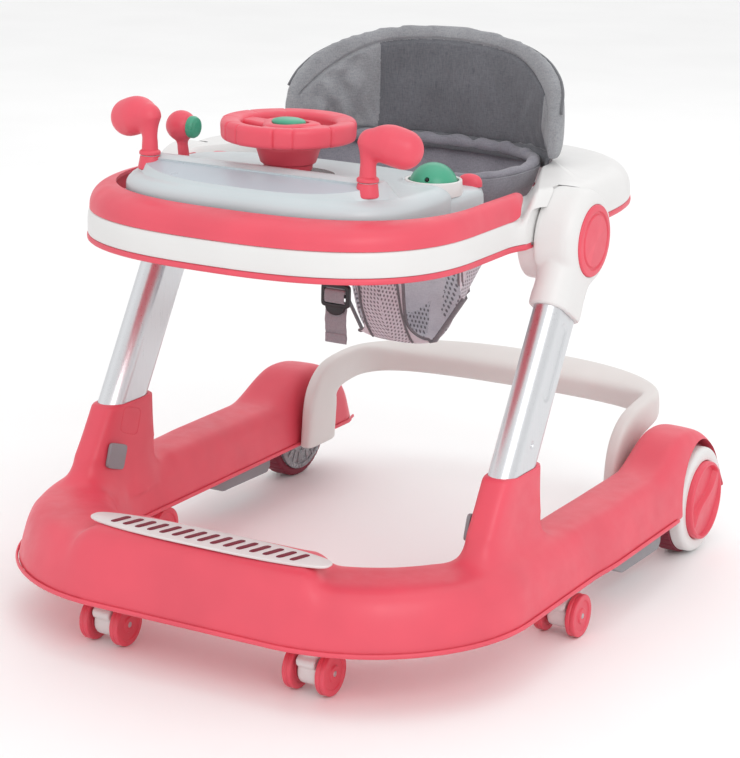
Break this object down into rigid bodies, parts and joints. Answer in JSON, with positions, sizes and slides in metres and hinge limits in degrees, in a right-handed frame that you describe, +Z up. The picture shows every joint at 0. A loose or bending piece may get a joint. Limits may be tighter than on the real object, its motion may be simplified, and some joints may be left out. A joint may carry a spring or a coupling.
{
  "type": "baby walker",
  "caption": "Folding baby walker: a U-shaped base on casters and rear wheels, leaning telescopic legs, a toy tray, a padded fabric seat and a rear push bar.",
  "frame": {"origin": "on the floor, under the middle of the walker's bounding box", "axes": "+Z up, -Y towards the front bumper, +Y towards the push bar, +X towards the child's left when seen from the front"},
  "size_m": [0.568, 0.7724, 0.571],
  "materials": {
    "coral": "satin moulded plastic",
    "white": "satin moulded plastic",
    "tray_grey": "satin",
    "mid_grey": "matte",
    "disc_grey": "satin",
    "tread": "matte",
    "steel": "zinc plated",
    "alu": "satin anodised",
    "padding": "melange woven cloth over padding",
    "mesh_cloth": "spacer mesh and woven cloth",
    "webbing": "woven tape",
    "black": "satin",
    "green": "satin",
    "smoke": "smoked plastic"
  },
  "bodies": {
    "base": {"base_shell": "coral", "pedal_plate": "white", "under_cover": "coral", "caster_sockets": "white", "axle_brackets": "coral", "rear_axles": "steel", "stop_pads": "mid_grey", "base_screws": "steel", "bar_pins": "steel"},
    "height_button_left": {"height_button_left": "mid_grey"},
    "wheel_left": {"tyre_left": "tread", "rim_ring_left": "white", "hub_cap_left": "coral", "spoke_disc_left": "disc_grey"},
    "height_button_right": {"height_button_right": "mid_grey"},
    "wheel_right": {"tyre_right": "tread", "rim_ring_right": "white", "hub_cap_right": "coral", "spoke_disc_right": "disc_grey"},
    "caster_swivel_fl": {"caster_fork_fl": "white"},
    "caster_roll_fl": {"caster_axle_fl": "steel", "caster_wheels_fl": "coral"},
    "caster_swivel_fr": {"caster_fork_fr": "white"},
    "caster_roll_fr": {"caster_axle_fr": "steel", "caster_wheels_fr": "coral"},
    "caster_swivel_sl": {"caster_fork_sl": "white"},
    "caster_roll_sl": {"caster_axle_sl": "steel", "caster_wheels_sl": "coral"},
    "caster_swivel_sr": {"caster_fork_sr": "white"},
    "caster_roll_sr": {"caster_axle_sr": "steel", "caster_wheels_sr": "coral"},
    "push_bar": {"push_bar": "white"},
    "legs": {"leg_tube_left": "alu", "leg_tube_right": "alu", "leg_housing_left": "white", "leg_housing_right": "white", "pivot_shafts": "steel"},
    "release_button_left": {"release_button_left": "coral"},
    "release_button_right": {"release_button_right": "coral"},
    "seat_frame": {"ring_shell": "white", "under_rim": "coral", "tray_band": "coral", "toy_tray": "tray_grey", "toy_sockets": "tray_grey", "pivot_bosses": "white", "seat_sling": "mesh_cloth", "seat_back": "padding", "crotch_strap": "webbing", "strap_buckle": "black", "tray_screws": "steel", "side_keys": "coral", "steering_plate": "smoke"},
    "steering_wheel": {"steering_wheel": "coral"},
    "steering_button": {"steering_button": "green"},
    "club_left": {"club_left": "coral"},
    "club_right": {"club_right": "coral"},
    "gear_lever": {"gear_lever": "coral", "gear_disc": "green"},
    "dome_button": {"dome_button": "green"},
    "turn_key": {"turn_key": "coral"}
  },
  "joints": [
    {"name": "height_button_left_press", "type": "slide", "parent": "base", "child": "height_button_left", "axis": [-1, 0, 0], "range_m": [0, 0.0025], "stiffness_N_per_m": 800, "springref_m": -0.002},
    {"name": "wheel_left_spin", "type": "hinge", "parent": "base", "child": "wheel_left", "pos_m": [-0.26, 0.235, 0.061], "axis": [1, 0, 0], "continuous": true},
    {"name": "height_button_right_press", "type": "slide", "parent": "base", "child": "height_button_right", "axis": [1, 0, 0], "range_m": [0, 0.0025], "stiffness_N_per_m": 800, "springref_m": -0.002},
    {"name": "wheel_right_spin", "type": "hinge", "parent": "base", "child": "wheel_right", "pos_m": [0.26, 0.235, 0.061], "axis": [1, 0, 0], "continuous": true},
    {"name": "caster_fl_swivel", "type": "hinge", "parent": "base", "child": "caster_swivel_fl", "pos_m": [-0.117, -0.331, 0.05], "axis": [0, 0, 1], "continuous": true},
    {"name": "caster_fl_roll", "type": "hinge", "parent": "caster_swivel_fl", "child": "caster_roll_fl", "pos_m": [-0.117, -0.331, 0.022], "axis": [1, 0, 0], "continuous": true},
    {"name": "caster_fr_swivel", "type": "hinge", "parent": "base", "child": "caster_swivel_fr", "pos_m": [0.117, -0.331, 0.05], "axis": [0, 0, 1], "continuous": true},
    {"name": "caster_fr_roll", "type": "hinge", "parent": "caster_swivel_fr", "child": "caster_roll_fr", "pos_m": [0.117, -0.331, 0.022], "axis": [1, 0, 0], "continuous": true},
    {"name": "caster_sl_swivel", "type": "hinge", "parent": "base", "child": "caster_swivel_sl", "pos_m": [-0.251, -0.068, 0.05], "axis": [0, 0, 1], "continuous": true},
    {"name": "caster_sl_roll", "type": "hinge", "parent": "caster_swivel_sl", "child": "caster_roll_sl", "pos_m": [-0.251, -0.068, 0.022], "axis": [1, 0, 0], "continuous": true},
    {"name": "caster_sr_swivel", "type": "hinge", "parent": "base", "child": "caster_swivel_sr", "pos_m": [0.251, -0.068, 0.05], "axis": [0, 0, 1], "continuous": true},
    {"name": "caster_sr_roll", "type": "hinge", "parent": "caster_swivel_sr", "child": "caster_roll_sr", "pos_m": [0.251, -0.068, 0.022], "axis": [1, 0, 0], "continuous": true},
    {"name": "push_bar_lift", "type": "hinge", "parent": "base", "child": "push_bar", "pos_m": [0, 0.212, 0.084], "axis": [1, 0, 0], "range_deg": [0, 75]},
    {"name": "height_slide", "type": "slide", "parent": "base", "child": "legs", "axis": [0, 0.5075, 0.8616], "range_m": [-0.06, 0]},
    {"name": "release_button_left_press", "type": "slide", "parent": "legs", "child": "release_button_left", "axis": [1, 0, 0], "range_m": [0, 0.0025], "stiffness_N_per_m": 1000, "springref_m": -0.002},
    {"name": "release_button_right_press", "type": "slide", "parent": "legs", "child": "release_button_right", "axis": [-1, 0, 0], "range_m": [0, 0.0025], "stiffness_N_per_m": 1000, "springref_m": -0.002},
    {"name": "seat_fold", "type": "hinge", "parent": "legs", "child": "seat_frame", "pos_m": [0, -0.029, 0.397], "axis": [1, 0, 0], "range_deg": [0, 60]},
    {"name": "steering_turn", "type": "hinge", "parent": "seat_frame", "child": "steering_wheel", "pos_m": [0, -0.196, 0.506], "axis": [0, 0, 1], "continuous": true},
    {"name": "horn_press", "type": "slide", "parent": "steering_wheel", "child": "steering_button", "axis": [0, 0, -1], "range_m": [0, 0.003], "stiffness_N_per_m": 500, "springref_m": -0.002},
    {"name": "club_left_turn", "type": "hinge", "parent": "seat_frame", "child": "club_left", "pos_m": [-0.121, -0.254, 0.49], "axis": [0, 0, 1], "range_deg": [-60, 60]},
    {"name": "club_right_turn", "type": "hinge", "parent": "seat_frame", "child": "club_right", "pos_m": [0.121, -0.254, 0.49], "axis": [0, 0, 1], "range_deg": [-60, 60]},
    {"name": "gear_shift", "type": "hinge", "parent": "seat_frame", "child": "gear_lever", "pos_m": [-0.134, -0.176, 0.452], "axis": [1, 0, 0], "range_deg": [-15, 15]},
    {"name": "dome_press", "type": "slide", "parent": "seat_frame", "child": "dome_button", "axis": [0, 0, -1], "range_m": [0, 0.003], "stiffness_N_per_m": 500, "springref_m": -0.002},
    {"name": "key_turn", "type": "hinge", "parent": "seat_frame", "child": "turn_key", "pos_m": [0.143, -0.09, 0.45], "axis": [0, 0, 1], "range_deg": [-45, 45]}
  ]
}
